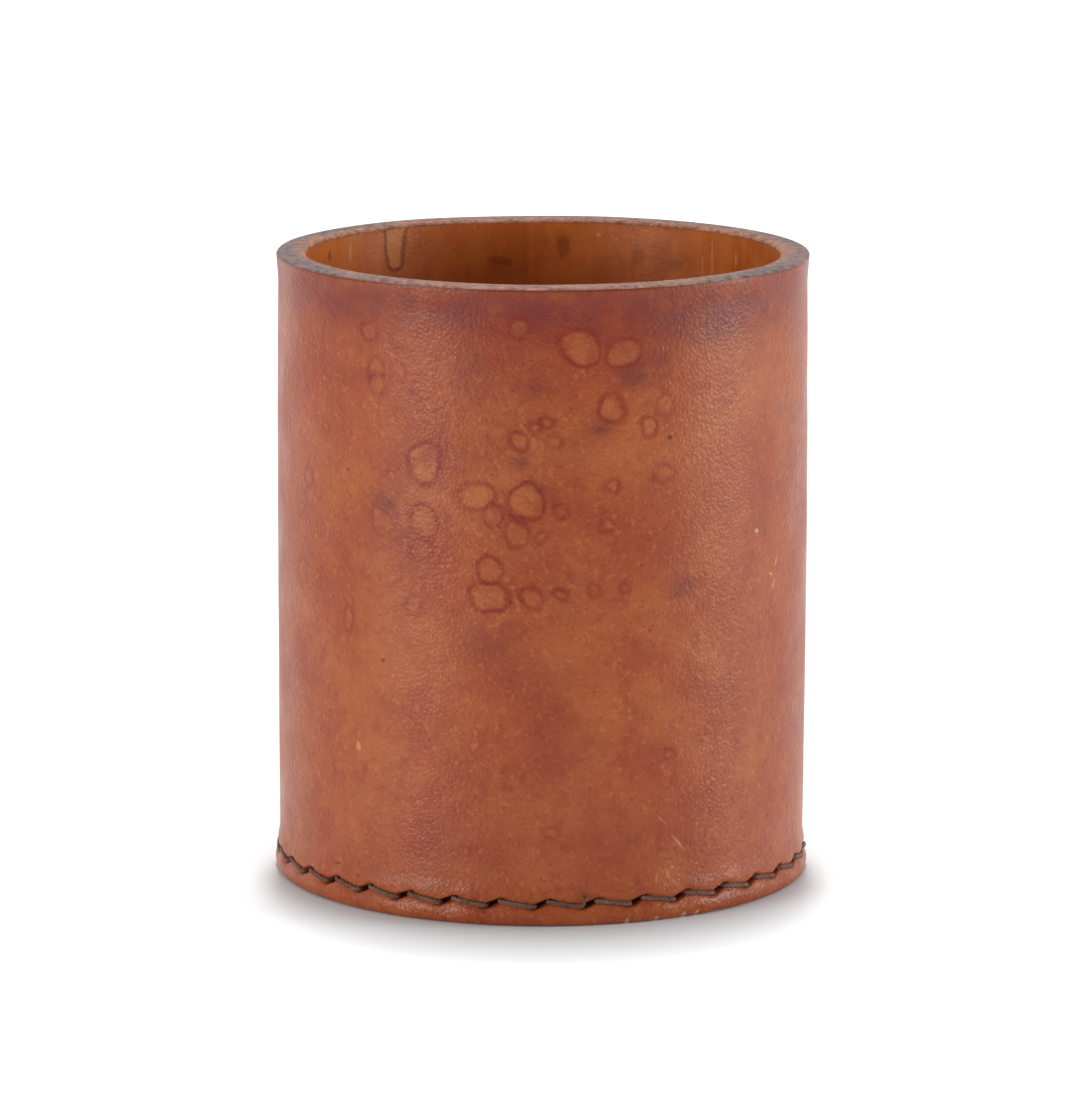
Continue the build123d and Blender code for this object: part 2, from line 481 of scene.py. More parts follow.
def wall_rows():
    """The wall's cross-section from the inner corner of the foot, out, up, over the rim and down the
    inner face: radius, height, how far each point is on the outer face, the inner face and the rim,
    and how far across the rim it is."""
    turn = np.linspace(-math.pi / 2, 0, 7)[:-1]
    under = np.linspace(bore_radius + foot_spread, foot_radius - foot_round, 5)[:-1]
    low = np.arange(foot_round, spread_height, 0.2)
    high = np.linspace(spread_height, cup_height - rim_swell_height, 68)[:-1]
    swell = np.linspace(cup_height - rim_swell_height, cup_height - rim_round, 8)
    outside = np.concatenate([low, high, swell])
    rim_out = np.linspace(0, math.pi / 2, 5)[1:]
    bevel = np.linspace(0, math.pi / 2, 6)
    below_bevel = cup_height - rim_bevel_depth - 0.4
    below_fine = below_bevel - 1.6
    inside = np.concatenate([
        np.linspace(below_bevel, below_fine, 3)[:-1],
        np.linspace(below_fine, base_height, 37),
        np.linspace(base_height, 0, 5)[1:-1],
    ])
    top_start = outer_radius(cup_height) - rim_round
    top_end = bore_radius + rim_bevel_width
    top = np.linspace(top_start, top_end, 7)[1:-1]
    rim_edge = cup_height - rim_crown
    crown = rim_crown * (1 - ((top - top_end) / (top_start - top_end) * 2 - 1) ** 2)
    radius = [
        under,
        outer_radius(foot_round) - foot_round + foot_round * np.cos(turn),
        outer_radius(outside),
        top_start + rim_round * np.cos(rim_out),
        top,
        top_end - rim_bevel_width * np.sin(bevel) ** 1.3,
        inner_radius(inside),
    ]
    height = [
        0 * under,
        foot_round + foot_round * np.sin(turn),
        outside,
        rim_edge - rim_round + rim_round * np.sin(rim_out),
        rim_edge + crown,
        rim_edge - rim_bevel_depth * (1 - np.cos(bevel) ** 1.3),
        inside,
    ]
    outer = [0.0, 0.6, 1.0, 0.7, 0.0, 0.0, 0.0]
    inner = [0.0, 0.0, 0.0, 0.0, 0.0, 0.0, 1.0]
    rim = [0.0, 0.0, 0.0, 1.0, 1.0, 1.0, 0.0]
    across = np.concatenate([np.linspace(0.1, 0.6, len(top)), np.linspace(0.7, 1.0, len(bevel))])
    sizes = [len(part) for part in radius]
    return (
        np.concatenate(radius),
        np.concatenate(height),
        np.repeat(outer, sizes),
        np.repeat(inner, sizes),
        np.repeat(rim, sizes),
        np.concatenate([np.zeros(sum(sizes[:4])), across, np.zeros(sizes[6])]),
    )


def seam_angle(radius):
    """Where the slanting scarf seam lies at a radius."""
    middle = (body_radius * math.sin(scarf_angle), bore_radius + wall_thickness / 2)
    run = (math.cos(scarf_lean), math.sin(scarf_lean))
    along = middle[0] * run[0] + middle[1] * run[1]
    reach = np.sqrt(along**2 - middle[0] ** 2 - middle[1] ** 2 + radius**2) - along
    return np.mod(np.arctan2(middle[0] + reach * run[0], -(middle[1] + reach * run[1])), 2 * math.pi)


def wall_columns():
    """Angles of the wall's columns, close together at each slit, from the seam once round to the seam."""
    near = np.linspace(-1.8, 1.8, 10) / body_radius
    far = np.linspace(near[-1], pitch_angle + near[0], 8)[1:-1]
    pattern = np.concatenate([near, far])
    slits = np.arange(-stitch_count, stitch_count) * pitch_angle
    angles = (slits[:, None] + pattern[None, :]).ravel()
    end = float(seam_angle(body_radius))
    start = end - 2 * math.pi
    spare = 0.2 / body_radius
    inside = angles[(angles > start + spare) & (angles < end - spare)]
    return np.concatenate([[start], inside, [end]])


def slit_frame(angle, height):
    """Place along and across the nearest slit."""
    side = (angle - np.round(angle / pitch_angle) * pitch_angle) * foot_radius
    up = height - stitch_height
    along = side * math.cos(slit_slant) + up * math.sin(slit_slant)
    across = up * math.cos(slit_slant) - side * math.sin(slit_slant)
    return along, across


def slit_mask(angle, height, grow=1.0):
    """1 in the mouth of a slit, 0 outside it."""
    along, across = slit_frame(angle, height)
    edge = np.hypot(along / (slit_half_length * grow), across / (slit_half_width * grow))
    return 1 - ease((edge - 0.5) / 0.7)


def bed_mask(angle, height):
    """1 under the thread between two slits, 0 away from it."""
    gap = pitch_angle / 2 - pass_side / foot_radius
    side = angle - (np.floor(angle / pitch_angle) + 0.5) * pitch_angle
    line = stitch_height - pass_rise * np.clip(side / gap, -1, 1)
    inside = 1 - ease((np.abs(side) - gap) * foot_radius / 0.6)
    return bell(height - line, 0.6) * inside


def stitch_relief(angle, height):
    """How far the stitches press the leather in, and the leather between them stands out."""
    up = height - stitch_height
    near_slit = 0.5 + 0.5 * np.cos(2 * math.pi * angle / pitch_angle)
    drawn = bell(up, 1.5) * (0.1 + 0.2 * near_slit)
    puffed = (1 - near_slit) * 0.1 * (bell(up - 1.7, 0.9) + bell(up + 1.6, 0.8))
    return puffed - drawn - bed_depth * bed_mask(angle, height) - slit_depth * slit_mask(angle, height)


def chip_mask(angle, height):
    """1 in the chips of the lower edge."""
    mask = 0 * angle
    for arc, half in CHIPS:
        mask = np.maximum(mask, bell(angle * foot_radius - arc, half) * bell(height - 0.5, 0.7))
    return mask


def edge_dye(height):
    """1 on the dyed edges of the outer face, at the foot and at the rim."""
    return np.maximum(0.7 * ease((0.6 - height) / 0.5), bell(height - cup_height + rim_round, 0.4))


def patina(arcs, heights):
    """How dark, purple and pale the leather is, from the soft patches."""
    tones = np.zeros(arcs.shape + (3,))
    for arc, height, half_width, half_height, *tone in PATCHES:
        away = np.hypot((arcs - arc) / half_width, (heights - height) / half_height)
        tones += bell(away, 1.0)[..., None] * np.array(tone)
    return tones


def build_wall(material):
    """The wall's mesh, with its relief, and the places and tones that its material reads."""
    radius, height, outer, inner, rim, across = wall_rows()
    columns = wall_columns()
    from_end = np.minimum(columns - columns[0], columns[-1] - columns)
    fade = ease(1 - from_end / scarf_fade)
    shear = seam_angle(radius) - seam_angle(body_radius)
    angle = columns[None, :] + shear[:, None] * fade[None, :]
    gap = scarf_gap * (1 - 0.9 * inner) / math.sin(scarf_lean) / radius
    angle[:, 0] += gap / 2
    angle[:, -1] -= gap / 2

    rows = len(radius)
    outer, inner, rim, across = (part[:, None] for part in (outer, inner, rim, across))
    tall = height[:, None] + 0 * angle
    draw = np.random.default_rng(7)
    broad = waves(angle, tall, 8, 5, 1.5, draw) * broad_uneven
    close = waves(angle, tall, 14, 26, 8, draw) * close_uneven
    uneven = rim_uneven * (1 + waves(angle, 0 * tall, 7, 14, 0, draw) / 2.5)
    lift = scarf_lift * bell((columns[-1] - angle) * body_radius, 0.5)
    chips = chip_mask(angle, tall) * (outer > 0)
    out = outer * (stitch_relief(angle, tall) + lift) + (outer + inner > 0) * (broad + close)
    wide = radius[:, None] + (out - chip_depth * chips)
    tall = tall - uneven * ease((tall - cup_height + 3) / 3)

    points = place(angle, wide, tall).reshape(-1, 3)
    quads = grid_quads(rows, len(columns), True, False)
    first_end = np.arange(rows) * len(columns)
    last_end = first_end + len(columns) - 1
    faces = quads.tolist() + [first_end.tolist(), last_end[::-1].tolist()]
    wall = make_piece("wall_panel_leather", points, faces, "wall_panel", material)
    sharpen_ends(wall.data, first_end, last_end)

    arcs = (angle * body_radius).ravel()
    heights = tall.ravel()
    # Marks the mouths of the slits, where the material paints shade.
    dark = slit_mask(angle, tall, 1.15) * outer
    zones = np.stack([inner + 0 * angle, rim + 0 * angle, dark], axis=-1)
    paint(wall, "zones", zones)
    paint(wall, "patina", patina(arcs, heights))
    dyed = edge_dye(height)[:, None] * (outer > 0)
    paint(wall, "worn", np.stack(np.broadcast_arrays(chips, dyed, across), axis=-1))

    def paint_corners(name, values, at_ends):
        """Paints the quads' corners, and then those of the two end faces."""
        paint(wall, name, np.concatenate([values.reshape(-1, 3), [at_ends] * (2 * rows)]), "CORNER")

    for name, rings in zip(("ring_a", "ring_b"), apart(RINGS + scattered_rings(scattered_count))):
        spot, look = stain_corners(rings, arcs, heights, quads)
        paint_corners(name, spot, NO_RING)
        paint_corners(name + "_look", look, (0.0, 0.0, 0.0))
    inside = np.broadcast_to(inner, angle.shape).ravel()[quads].mean(axis=1) > 0.4
    spot = mark_corners(MARKS, arcs, heights, quads)
    inner_spot = mark_corners(INNER_MARKS, arcs * bore_radius / body_radius, heights, quads)
    spot = np.where(inside[:, None, None], inner_spot, spot)
    paint_corners("mark", spot, NO_MARK)
    paint_corners("drip", drip_corners(angle.ravel(), heights, quads, inside), NO_RING)


def sharpen_ends(mesh, *ends):
    """Keeps the edges of the two skived ends crisp."""
    pairs = np.zeros(len(mesh.edges) * 2, dtype=int)
    mesh.edges.foreach_get("vertices", pairs)
    pairs = pairs.reshape(-1, 2)
    sharp = np.zeros(len(pairs), dtype=bool)
    for end in ends:
        sharp |= np.isin(pairs, end).all(axis=1)
    layer = mesh.attributes.new("sharp_edge", "BOOLEAN", "EDGE")
    layer.data.foreach_set("value", sharp)


# Base

def flange_radius(height):
    """Radius of the base's flange, which follows the wall's spread foot."""
    share = (height - lip_height) / (spread_height - lip_height)
    return base_lip - foot_spread * np.clip(share, 0, 1.45)


def base_rows():
    """The base's cross-section from the middle of the floor, out over the shoulder, down the flange,
    under it and back along the recess: radius, height, and how far each point is in the recess."""
    turn = np.linspace(math.pi / 2, 0, 10)
    shoulder = base_height - base_shoulder
    edge = flange_radius(shoulder) - base_shoulder
    floor = np.linspace(base_middle, edge, 16)[:-1]
    down = np.linspace(shoulder, base_foot_round, 8)[1:-1]
    foot = np.linspace(0, math.pi, 9)
    low = np.linspace(base_foot_round, 2.2, 5)[1:]
    up = np.concatenate([low, np.arange(2.3, recess_depth - base_corner, 0.2)])
    corner = np.linspace(0, math.pi / 2, 7)
    corner_radius = flange_radius(recess_depth - base_corner) - base_thickness - base_corner
    ceiling = np.linspace(corner_radius, base_middle, 16)[1:]
    foot_middle = base_lip - base_thickness / 2
    foot_half = base_thickness / 2
    radius = [
        floor,
        edge + base_shoulder * np.cos(turn),
        flange_radius(down),
        foot_middle + foot_half * np.sign(np.cos(foot)) * np.abs(np.cos(foot)) ** 0.4,
        flange_radius(up) - base_thickness,
        corner_radius + base_corner * np.cos(corner),
        ceiling,
    ]
    height = [
        base_height + 0 * floor,
        shoulder + base_shoulder * np.sin(turn),
        down,
        base_foot_round - base_foot_round * np.sin(foot) ** 0.4,
        up,
        recess_depth - base_corner + base_corner * np.sin(corner),
        recess_depth + 0 * ceiling,
    ]
    recess = [0.0, 0.0, 0.0, 0.5, 1.0, 1.0, 1.0]
    sizes = [len(part) for part in radius]
    return np.concatenate(radius), np.concatenate(height), np.repeat(recess, sizes)


def build_base(material):
    """The base's mesh, with the pits and the groove of the inner stitches."""
    radius, height, recess = base_rows()
    column_count = stitch_count * base_columns
    columns = np.arange(column_count) * 2 * math.pi / column_count
    angle = columns[None, :] + 0 * radius[:, None]
    tall = height[:, None] + 0 * angle
    wide = radius[:, None] + 0 * angle
    draw = np.random.default_rng(11)
    on_flange = (recess[:, None] == 1) & (tall < recess_depth - 0.6)
    on_flange &= wide > base_lip - base_thickness - 2
    pits = slit_mask(angle, tall) * on_flange
    pressed = bell(tall - stitch_height, 0.7) * on_flange
    wide = wide + pits * pit_depth + press_depth * pressed
    level = waves(angle, wide * 3, 6, 4, 2, draw) * floor_uneven
    flat = (tall > recess_depth - 0.4) * ease((base_lip - 6 - wide) / 6)
    tall = tall + flat * (level - floor_sag * bell(wide, 22)) * (tall > base_height - 0.1)
    points = place(angle, wide, tall)
    rows = len(radius)
    quads = grid_quads(rows, len(columns), False, True)
    middles = np.array([[0, 0, points[0, :, 2].mean()], [0, 0, points[-1, :, 2].mean()]])
    count = rows * len(columns)
    numbers = np.arange(len(columns))
    following = np.roll(numbers, -1)
    last = (rows - 1) * len(columns)
    fans = [[count, int(a), int(b)] for a, b in zip(numbers, following)]
    fans += [[count + 1, int(b) + last, int(a) + last] for a, b in zip(numbers, following)]
    points = np.concatenate([points.reshape(-1, 3), middles])
    faces = quads[:, ::-1].tolist() + fans
    base = make_piece("base_dish_leather", points, faces, "base_dish", material)
    flesh = np.concatenate([(recess[:, None] + 0 * angle).ravel(), [0.0, 1.0]])
    # The pits are marked for the material, which paints shade into them.
    dark = np.concatenate([pits.ravel(), [0.0, 0.0]])
    paint(base, "zones", np.stack([flesh, dark, 0 * dark], axis=-1))


# Thread

ply_count = 3
ply_offset = 0.18
ply_radius = 0.245
ply_sides = 7
twist_length = 2.6
path_step = 0.1
path_smoothing = 6.5
flatten = 0.55
inner_press = 0.15
tail_aside = 0.1
hidden_step = 16
seen_step = 3
thin_start = 2.4
thin_length = 1.8
fibre_count = 16
fibre_radius = 0.05
fibre_sides = 4


def pass_point(index, side, inside):
    """Where the thread turns at a slit: side 1 is the slit's upper end, -1 its lower end."""
    height = stitch_height + side * pass_rise
    if inside:
        reach = float(flange_radius(height)) - base_thickness - thread_radius + inner_press
    else:
        reach = float(outer_radius(height)) + thread_stand
    return place(np.array(index * pitch_angle + side * pass_side / reach), reach, height)


def thread_corners():
    """The corners of the thread's way, twice round the foot. It starts inside the tail's slit and ends
    in the tail. Outside it runs from the upper end of a slit to the lower end of the next."""
    tail_root = pass_point(tail_slit, -1, False)
    first = pass_point(tail_slit, -1, True)
    corners = [(tail_root + first) / 2, first]
    for step in range(1, 2 * stitch_count):
        comes_out = step % 2 == 1
        side = 1 if comes_out else -1
        corners.append(pass_point(tail_slit + step, side, comes_out))
        corners.append(pass_point(tail_slit + step, side, not comes_out))
    outward = place(np.array(tail_slit * pitch_angle), tail_lean, 0.0)
    return np.array(corners + [tail_root, tail_root + outward + [tail_aside, 0, tail_length]])


def thread_path():
    """Close points along the thread, with its turns rounded, sparse where the leather hides it."""
    corners = thread_corners()
    lengths = np.linalg.norm(np.diff(corners, axis=0), axis=1)
    way = np.concatenate([[0], np.cumsum(lengths)])
    samples = np.arange(0, way[-1], path_step)
    line = np.stack([np.interp(samples, way, corners[:, axis]) for axis in range(3)], axis=-1)
    reach = int(4 * path_smoothing)
    weights = bell(np.arange(-reach, reach + 1), path_smoothing * math.sqrt(2))
    weights /= weights.sum()
    padded = np.pad(line, ((reach, reach), (0, 0)), mode="reflect", reflect_type="odd")
    smooth = np.stack([np.convolve(padded[:, axis], weights, "valid") for axis in range(3)], axis=-1)
    away = np.hypot(smooth[:, 0], smooth[:, 1])
    hidden = (away > base_lip - base_thickness + 0.9) & (away < body_radius - 0.5)
    keep = np.arange(len(smooth)) % np.where(hidden, hidden_step, seen_step) == 0
    keep[[0, -1]] = True
    return smooth[keep], samples[keep]


def carried_frames(path):
    """Two directions across a path at each point, carried along it without twisting."""
    ahead = np.gradient(path, axis=0)
    ahead /= np.linalg.norm(ahead, axis=1, keepdims=True)
    side = np.cross(ahead[0], [0, 0, 1.0])
    sides = []
    for direction in ahead:
        side = side - direction * side.dot(direction)
        side = side / np.linalg.norm(side)
        sides.append(side)
    sides = np.array(sides)
    return sides, np.cross(ahead, sides)


def tube(path, radius, sides, first_point):
    """Points and faces of a closed tube along a path, with point numbers from first_point on."""
    across, up = carried_frames(path)
    turn = np.arange(sides) * 2 * math.pi / sides
    spread = np.cos(turn)[:, None] * across[:, None, :] + np.sin(turn)[:, None] * up[:, None, :]
    points = path[:, None, :] + spread * np.reshape(radius, (-1, 1, 1))
    faces = (grid_quads(len(path), sides, False, True) + first_point).tolist()
    ends = np.arange(sides) + first_point
    faces.append(ends[::-1].tolist())
    faces.append((ends + (len(path) - 1) * sides).tolist())
    return points.reshape(-1, 3), faces


def ply_paths():
    """The plies' paths, wound round the thread's path and pressed flat, the lengths along them, and how
    far each point is thinned towards the tail's end."""
    path, samples = thread_path()
    across, up = carried_frames(path)
    outward = path * [1, 1, 0]
    outward /= np.linalg.norm(outward, axis=1, keepdims=True)
    thinned = ease((samples - samples[-1] + thin_start) / thin_length)
    for ply in range(ply_count):
        turn = 2 * math.pi * (samples / twist_length + ply / ply_count)
        offset = np.cos(turn)[:, None] * across + np.sin(turn)[:, None] * up
        offset *= (ply_offset * (1 - 0.45 * thinned))[:, None]
        flat = (offset * outward).sum(axis=1, keepdims=True) * (1 - flatten)
        yield path + offset - flat * outward, samples, thinned


def fray_paths(tip):
    """Loose fibres at the cut end of the thread."""
    draw = np.random.default_rng(5)
    for _ in range(fibre_count):
        aim = np.array([draw.normal(0, 0.45), draw.normal(-0.1, 0.3), draw.uniform(0.5, 1.0)])
        bend = np.array([draw.normal(0, 0.3), draw.normal(0, 0.2), draw.normal(-0.1, 0.2)])
        share = np.linspace(0, 1, 6)[:, None]
        start = tip + draw.normal(0, 0.14, 3) - [0, 0, 0.4]
        yield start + share * aim * draw.uniform(0.5, 0.9) + share**2 * bend


def build_thread(material):
    """The thread's plies and the loose fibres at its end, as closed tubes."""
    points, faces = [], []
    count = 0
    tip = None
    draw = np.random.default_rng(3)
    for path, samples, thinned in ply_paths():
        uneven = 1 + 0.06 * np.sin(samples * 1.7 + draw.uniform(0, 6)) + draw.normal(0, 0.03, len(samples))
        radius = ply_radius * uneven * (1 - 0.72 * thinned)
        ring, quads = tube(path, radius, ply_sides, count)
        points.append(ring)
        faces += quads
        count += len(ring)
        tip = path[-1] if tip is None else (tip + path[-1]) / 2
    for path in fray_paths(tip):
        ring, quads = tube(path, fibre_radius * np.linspace(1, 0.4, len(path)), fibre_sides, count)
        points.append(ring)
        faces += quads
        count += len(ring)
    points = np.concatenate(points)
    make_piece("saddle_thread_plies", points, faces, "saddle_thread", material)


# Materials

def leather_grain(shader, depth, share=1.0):
    """Pebbled grain with fine creases and pores, at full depth where the share is 1."""
    pebbles = shader.cells(0.6)
    creases = shader.noise(0.9, 2.0, 0.5)
    pores = shader.step(shader.noise(0.3, 1.0), 0.32, 0.45)
    fine = shader.maths("MULTIPLY_ADD", pebbles, -1.0, creases)
    fine = shader.maths("MULTIPLY_ADD", pores, 0.3, fine)
    return shader.bump(shader.times(fine, share), depth)


def outer_colour(shader):
    """Cognac leather, mottled, darker under the rim, with patches and rings."""
    light, middle, deep = srgb(169, 90, 45), srgb(156, 67, 29), srgb(130, 42, 21)
    purple, pale, line = srgb(102, 42, 42), srgb(183, 107, 56), srgb(124, 30, 8)
    broad = shader.step(shader.noise(9, 5.0, 0.7), 0.25, 0.75)
    patches = shader.step(shader.noise(4.0, 5.0, 0.7), 0.36, 0.66)
    flecks = shader.step(shader.noise(1.3, 3.0, 0.7), 0.5, 0.72)
    specks = shader.step(shader.noise(0.55, 2.0, 0.6), 0.55, 0.72)
    points = shader.step(shader.noise(0.45, 2.0, 0.6), 0.42, 0.28)
    tone = shader.mix(broad, middle, light)
    tone = shader.tint(tone, deep, patches, 0.4)
    tone = shader.tint(tone, deep, flecks, 0.4)
    tone = shader.tint(tone, pale, specks, 0.5)
    tone = shader.tint(tone, deep, points, 0.5)
    dark, violet, fair = shader.split(shader.painted("patina"))
    break_up = shader.step(shader.noise(1.8, 4.0, 0.7), 0.3, 0.62)
    tone = shader.tint(tone, pale, fair, 0.5)
    dark = shader.times(dark, shader.step(shader.noise(2.2, 4.0, 0.7), 0.3, 0.65, 0.35, 1.0))
    tone = shader.mix(shader.times(dark, 0.9, clamp=True), tone, deep)
    smudge = shader.times(violet, break_up, clamp=True)
    tone = shader.tint(tone, purple, smudge, 0.85)
    for name in ("ring_a", "ring_b"):
        tone = ring_tone(shader, tone, name, line, pale)
    return tone


def ring_tone(shader, tone, name, line_colour, fill_colour):
    """Drop rings: an uneven line, soft on its outside, with a lighter middle. Places are in millimetres."""
    line, fill, _ = shader.split(shader.painted(name + "_look"))
    across, up, size = shader.split(shader.swayed(shader.painted(name), 2.6, 3.0, 0.6))
    past = shader.maths("SUBTRACT", shader.reach(across, up), size)
    strength = shader.step(shader.noise(1.8, 3.0, 0.6), 0.35, 0.6, 0.5, 1.0)
    edge = shader.times(shader.step(past, -0.6, 0.05), shader.step(past, 1.0, 0.1))
    edge = shader.times(shader.times(edge, line), strength)
    blotch = shader.step(shader.noise(1.1, 3.0, 0.65), 0.3, 0.65)
    middle = shader.times(shader.step(past, -0.1, -1.0), shader.times(fill, blotch))
    tone = shader.tint(tone, fill_colour, middle, 0.85)
    return shader.tint(tone, line_colour, edge, 0.85)


def mark_tone(shader, tone):
    """Small pale scratches and dark specks, with ragged outlines."""
    scratch, speck = srgb(226, 160, 118), srgb(84, 36, 22)
    along, aside, strength = shader.split(shader.painted("mark"))
    reach = shader.maths("MULTIPLY_ADD", along, along, shader.times(aside, aside))
    ragged = shader.maths("MULTIPLY_ADD", shader.noise(0.35, 3.0, 0.7), 2.4, -1.2)
    inside = shader.step(shader.maths("ADD", reach, ragged), 1.4, 0.3)
    pale = shader.times(inside, strength, clamp=True)
    dark = shader.times(inside, shader.times(strength, -1.0), clamp=True)
    tone = shader.tint(tone, scratch, pale, 0.7)
    return shader.tint(tone, speck, dark, 0.75)


def inner_colour(shader):
    """Golden brown, clouded, with a drip that has dried below the rim."""
    golden, brown, streak = srgb(192, 106, 46), srgb(172, 86, 32), srgb(206, 126, 62)
    speck, dried, dried_line = srgb(204, 136, 80), srgb(206, 140, 76), srgb(112, 48, 16)
    clouds = shader.step(shader.noise(6.0, 4.0, 0.65), 0.34, 0.66)
    streaks = shader.step(shader.noise(1.6, 3.0, 0.6, (1, 1, 0.12)), 0.35, 0.7)
    specks = shader.step(shader.noise(0.6, 2.0, 0.65), 0.6, 0.75)
    tone = shader.mix(clouds, golden, brown)
    tone = shader.tint(tone, streak, streaks, 0.3)
    tone = shader.tint(tone, speck, specks, 0.25)
    across, up, _ = shader.split(shader.swayed(shader.painted("drip"), 4.0, 2.0))
    reach = shader.reach(across, shader.maths("MINIMUM", up, 0.0))
    past = shader.maths("SUBTRACT", reach, shader.maths("MULTIPLY_ADD", up, drip_spread, drip_half))
    tone = shader.mix(shader.step(past, 0.1, -0.5, 0.0, 0.55), tone, dried)
    edge = shader.times(shader.step(past, -0.7, -0.1), shader.step(past, 0.7, 0.1))
    return shader.tint(tone, dried_line, edge, 0.7)


def rim_colour(shader, across):
    """The burnished cut edge: grey outside, pinker inside and at the front, paler on its inner bevel."""
    dark_grey, grey, worn = srgb(74, 64, 65), srgb(132, 115, 116), srgb(162, 126, 110)
    dark_pink, pink = srgb(98, 70, 60), srgb(168, 123, 107)
    dark_tan, tan = srgb(116, 76, 56), srgb(174, 126, 102)
    fibres = shader.step(shader.noise(0.7, 4.0, 0.7), 0.3, 0.7)
    rubbed = shader.step(shader.noise(3.5, 4.0, 0.65), 0.42, 0.66)
    tone = shader.mix(fibres, dark_grey, grey)
    ragged = shader.maths("MULTIPLY_ADD", shader.noise(1.6, 4.0, 0.7), 0.8, -0.4)
    across = shader.maths("ADD", across, ragged)
    pinker = shader.mix(fibres, dark_pink, pink)
    front = shader.step(shader.split(shader.where)[1], -25 * MM, -40 * MM)
    tone = shader.mix(shader.maths("MAXIMUM", front, shader.step(across, 0.2, 0.7)), tone, pinker)
    tone = shader.tint(tone, worn, rubbed, 0.4)
    inner_edge = shader.mix(fibres, dark_tan, tan)
    return shader.mix(shader.step(across, 0.6, 0.9), tone, inner_edge)


def wall_leather():
    """The wall's outer face, inner face and rim, with its dyed edges, chips and slits, and painted shade in
    the mouths of the slits.
    """
    shader = Shader("wall_leather")
    dye, bare, shade = srgb(94, 42, 30), srgb(202, 144, 112), srgb(62, 27, 18)
    inside, rim, slit = shader.split(shader.painted("zones"))
    chips, dyed, across = shader.split(shader.painted("worn"))
    ragged = shader.maths("MULTIPLY_ADD", shader.noise(0.8, 4.0, 0.7), 0.9, -0.45)
    tone = shader.mix(inside, outer_colour(shader), inner_colour(shader))
    tone = mark_tone(shader, tone)
    edge = shader.step(shader.maths("MULTIPLY_ADD", ragged, 0.5, dyed), 0.35, 0.9, 0.0, 0.7)
    tone = shader.mix(edge, tone, dye)
    on_rim = shader.step(shader.maths("MULTIPLY_ADD", ragged, 0.6, rim), 0.4, 0.7)
    tone = shader.mix(on_rim, tone, rim_colour(shader, across))
    tone = shader.mix(shader.step(shader.maths("ADD", chips, ragged), 0.5, 0.65), tone, bare)
    # Painted shade: the mouths of the slits are coloured dark as if in shadow.
    tone = shader.mix(slit, tone, shade)
    dull = shader.step(shader.noise(5.0, 3.0), 0.3, 0.7, 0.32, 0.43)
    dull = shader.maths("MAXIMUM", dull, shader.times(slit, 0.95))
    dull = shader.maths("MAXIMUM", dull, shader.times(on_rim, 0.6))
    shine = shader.step(on_rim, 0.0, 1.0, 0.3, 0.12)
    grain = leather_grain(shader, 0.07, shader.step(inside, 0.0, 1.0, 1.0, 0.35))
    return shader.finish(tone, dull, grain, Specular_IOR_Level=shine)


def base_leather():
    """Smooth above, and the leather's rough flesh side in the recess, with painted shade in the stitch
    pits.
    """
    shader = Shader("base_leather")
    brown, tan, scuffed = srgb(140, 70, 28), srgb(164, 90, 40), srgb(104, 50, 22)
    rough_brown, rough_tan, shade = srgb(140, 92, 58), srgb(172, 122, 84), srgb(44, 26, 18)
    flesh, slit, _ = shader.split(shader.painted("zones"))
    clouds = shader.step(shader.noise(9.0, 3.0, 0.6), 0.3, 0.7)
    scuffs = shader.step(shader.noise(1.5, 3.0, 0.7, (1, 0.3, 1)), 0.55, 0.75)
    grain_side = shader.mix(clouds, brown, tan)
    grain_side = shader.tint(grain_side, scuffed, scuffs, 0.3)
    nap = shader.step(shader.noise(0.6, 4.0, 0.7), 0.3, 0.7)
    flesh_side = shader.mix(nap, rough_brown, rough_tan)
    tone = shader.mix(flesh, grain_side, flesh_side)
    # Painted shade: the stitch pits are coloured dark as if in shadow.
    tone = shader.mix(slit, tone, shade)
    dull = shader.step(flesh, 0.2, 0.8, 0.5, 0.9)
    return shader.finish(tone, dull, leather_grain(shader, 0.06), Specular_IOR_Level=0.4)


def waxed_thread():
    """Dark, fibrous thread with paler wax here and there."""
    shader = Shader("waxed_thread")
    dark, light, waxed = srgb(74, 48, 38), srgb(116, 82, 67), srgb(142, 108, 90)
    fibres = shader.step(shader.noise(0.22, 3.0, 0.7), 0.3, 0.7)
    wax = shader.step(shader.noise(2.5, 3.0, 0.6), 0.35, 0.7)
    tone = shader.mix(fibres, dark, light)
    tone = shader.tint(tone, waxed, wax, 0.35)
    normal = shader.bump(shader.noise(0.16, 3.0, 0.7), 0.05)
    dull = shader.step(wax, 0.0, 1.0, 0.62, 0.5)
    return shader.finish(tone, dull, normal, Specular_IOR_Level=0.35)


# Studio

camera_distance = 966.7
camera_height = 235.4
camera_aside = -0.84
camera_tilt = math.radians(10.755)
camera_lean = math.radians(-0.15)
camera_lens = 198.86
floor_size = 8.0
WHITE = (1, 1, 1, 1)

# Distances from the cup, in metres, between which the floor turns into the backdrop
glow_start = 0.2
glow_end = 1.4


def build_camera():
    data = bpy.data.cameras.new("camera")
    data.sensor_width = 36
    data.lens = camera_lens
    camera = bpy.data.objects.new("camera", data)
    camera.location = (camera_aside * MM, -camera_distance * MM, camera_height * MM)
    camera.rotation_euler = (math.pi / 2 - camera_tilt, camera_lean, 0)
    bpy.context.collection.objects.link(camera)
    bpy.context.scene.camera = camera


